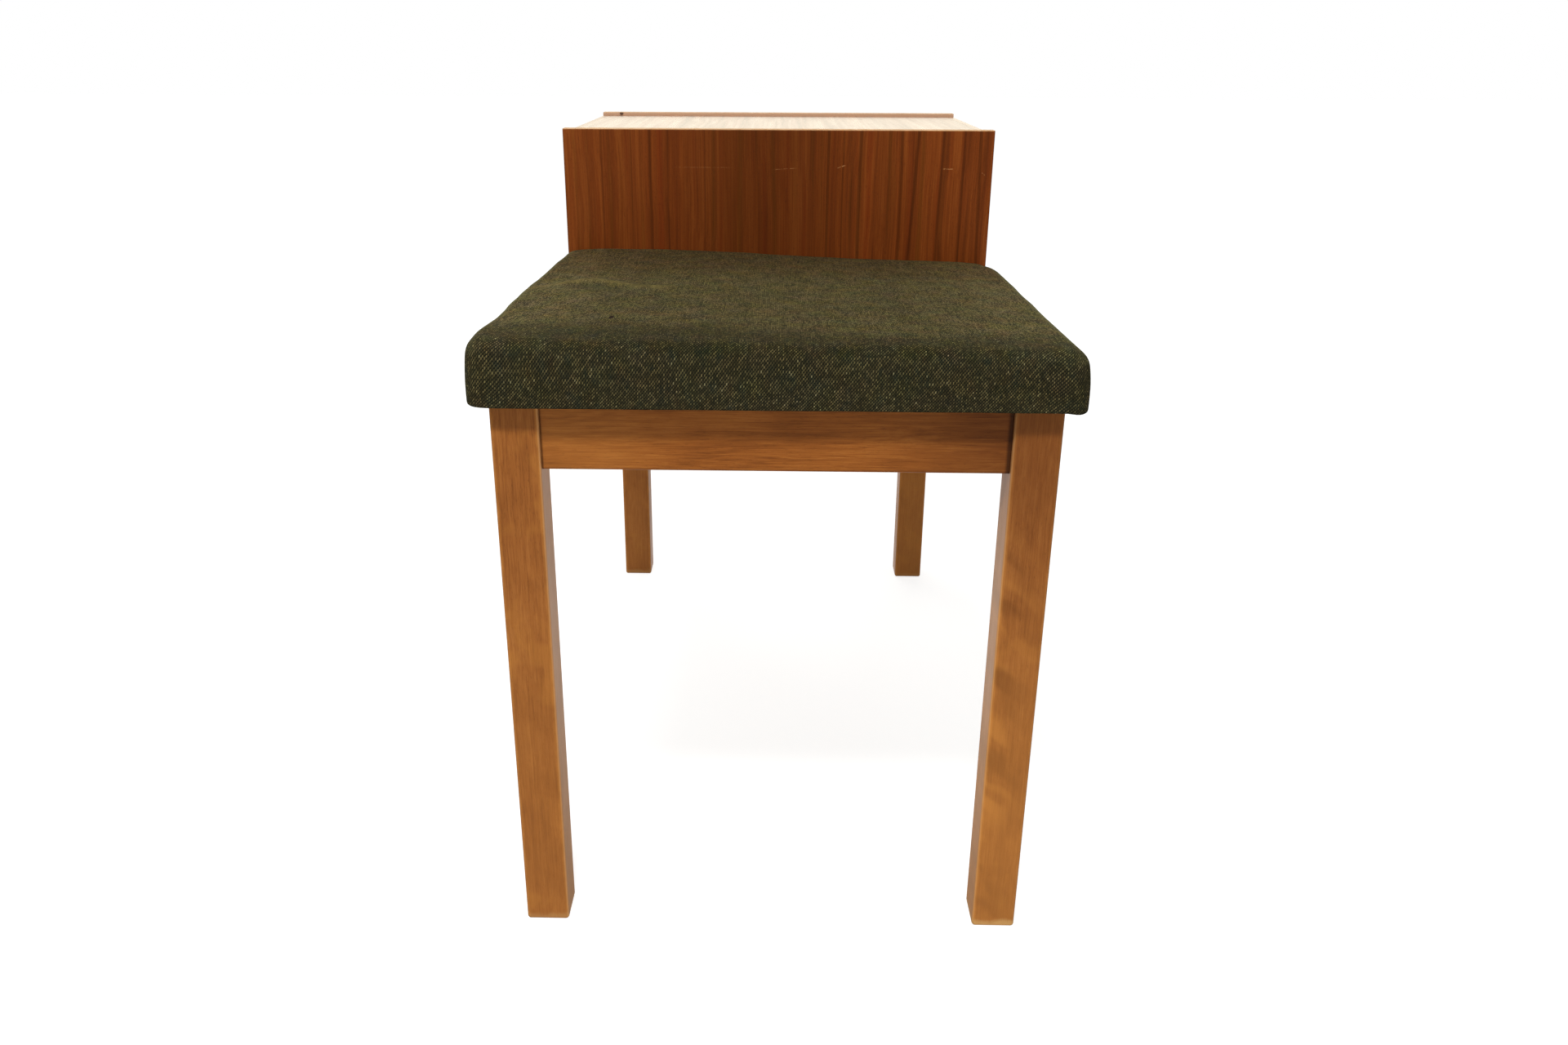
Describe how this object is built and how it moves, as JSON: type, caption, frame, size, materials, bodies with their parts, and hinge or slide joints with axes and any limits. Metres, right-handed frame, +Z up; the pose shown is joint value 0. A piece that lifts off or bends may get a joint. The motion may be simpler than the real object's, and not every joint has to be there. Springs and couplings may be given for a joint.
{
  "type": "telephone bench",
  "caption": "Low wooden bench with a padded fabric seat at one end and a small veneered cabinet with a sliding drawer at the other, on straight square legs.",
  "frame": {"origin": "on the floor under the middle of the bench's overall box", "axes": "+X from the cabinet to the seat, -Y the way the drawer opens, +Z up"},
  "size_m": [0.67, 0.37, 0.521],
  "materials": {
    "stained_beech": "stained, satin lacquer",
    "plain_beech": "unfinished",
    "teak_veneer": "satin lacquer",
    "solid_teak": "satin lacquer",
    "plywood": "unfinished",
    "wool": "woven, matt",
    "foam": "open cell",
    "steel": "zinc plated"
  },
  "bodies": {
    "bench": {"apron_cabinet_end": "stained_beech", "apron_seat_end": "stained_beech", "cabinet_back": "plywood", "cabinet_bottom": "plywood", "cabinet_dowels": "plain_beech", "cabinet_end_near": "teak_veneer", "cabinet_end_outer": "teak_veneer", "cabinet_screws": "steel", "cabinet_top": "teak_veneer", "corner_block_cabinet_back": "plain_beech", "corner_block_cabinet_front": "plain_beech", "corner_block_screws": "steel", "corner_block_seat_back": "plain_beech", "corner_block_seat_front": "plain_beech", "cross_rail": "plain_beech", "frame_dowels": "plain_beech", "leg_cabinet_back": "stained_beech", "leg_cabinet_front": "stained_beech", "leg_seat_back": "stained_beech", "leg_seat_front": "stained_beech", "rail_back": "stained_beech", "rail_front": "stained_beech", "runner_near": "plain_beech", "runner_outer": "plain_beech", "runner_screws": "steel", "seat_board": "plywood", "seat_cover": "wool", "seat_foam": "foam", "seat_screws": "steel", "seat_staples": "steel", "top_strip_back": "solid_teak", "top_strip_front": "solid_teak"},
    "drawer": {"drawer_back": "plain_beech", "drawer_bottom": "plywood", "drawer_dowels": "plain_beech", "drawer_front": "teak_veneer", "drawer_pins": "steel", "drawer_pull": "solid_teak", "drawer_side_near": "plain_beech", "drawer_side_outer": "plain_beech"}
  },
  "joints": [
    {"name": "drawer_slide", "type": "slide", "parent": "bench", "child": "drawer", "axis": [0, -1, 0], "range_m": [0, 0.22]}
  ]
}
